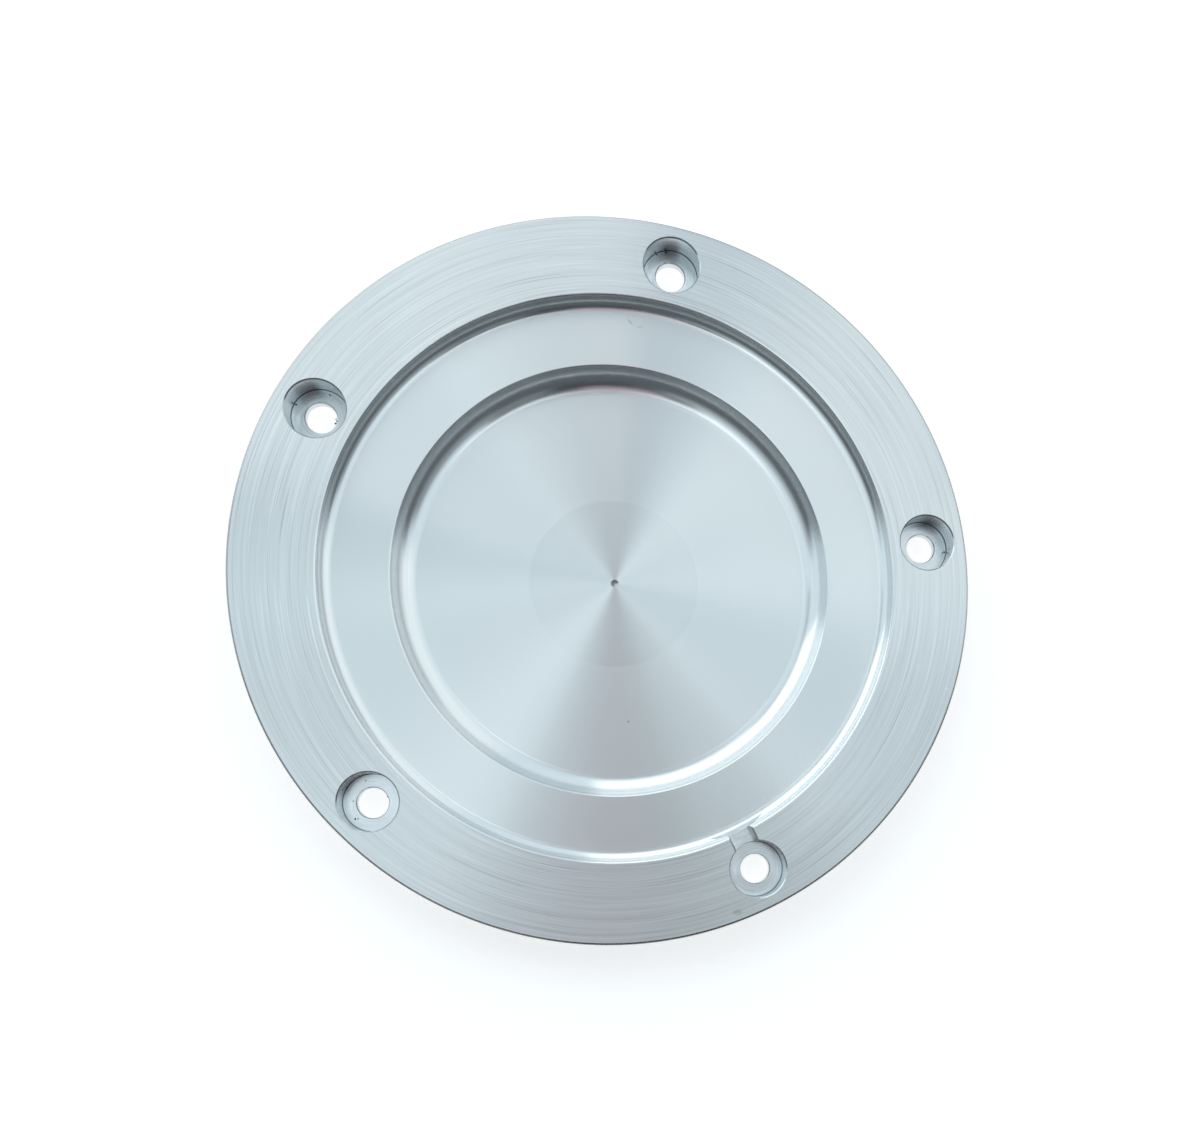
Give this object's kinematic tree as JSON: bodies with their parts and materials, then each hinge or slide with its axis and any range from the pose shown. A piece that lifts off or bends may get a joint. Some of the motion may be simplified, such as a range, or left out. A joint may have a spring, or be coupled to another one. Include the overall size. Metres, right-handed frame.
{
  "type": "derby cover",
  "caption": "Round turned aluminium cover with a stepped dish in its face, counterbored screw holes round the rim and a pilot underneath; closes a round access opening.",
  "frame": {"origin": "centre of the pilot's underside, on the turning axis", "axes": "+Z along the turning axis, out of the dished face; the slotted screw hole is on -Y"},
  "size_m": [0.152, 0.152, 0.0094],
  "materials": {
    "turned_aluminium": "fine turned, bare"
  },
  "bodies": {
    "root": {"derby_cover": "turned_aluminium"}
  },
  "joints": []
}
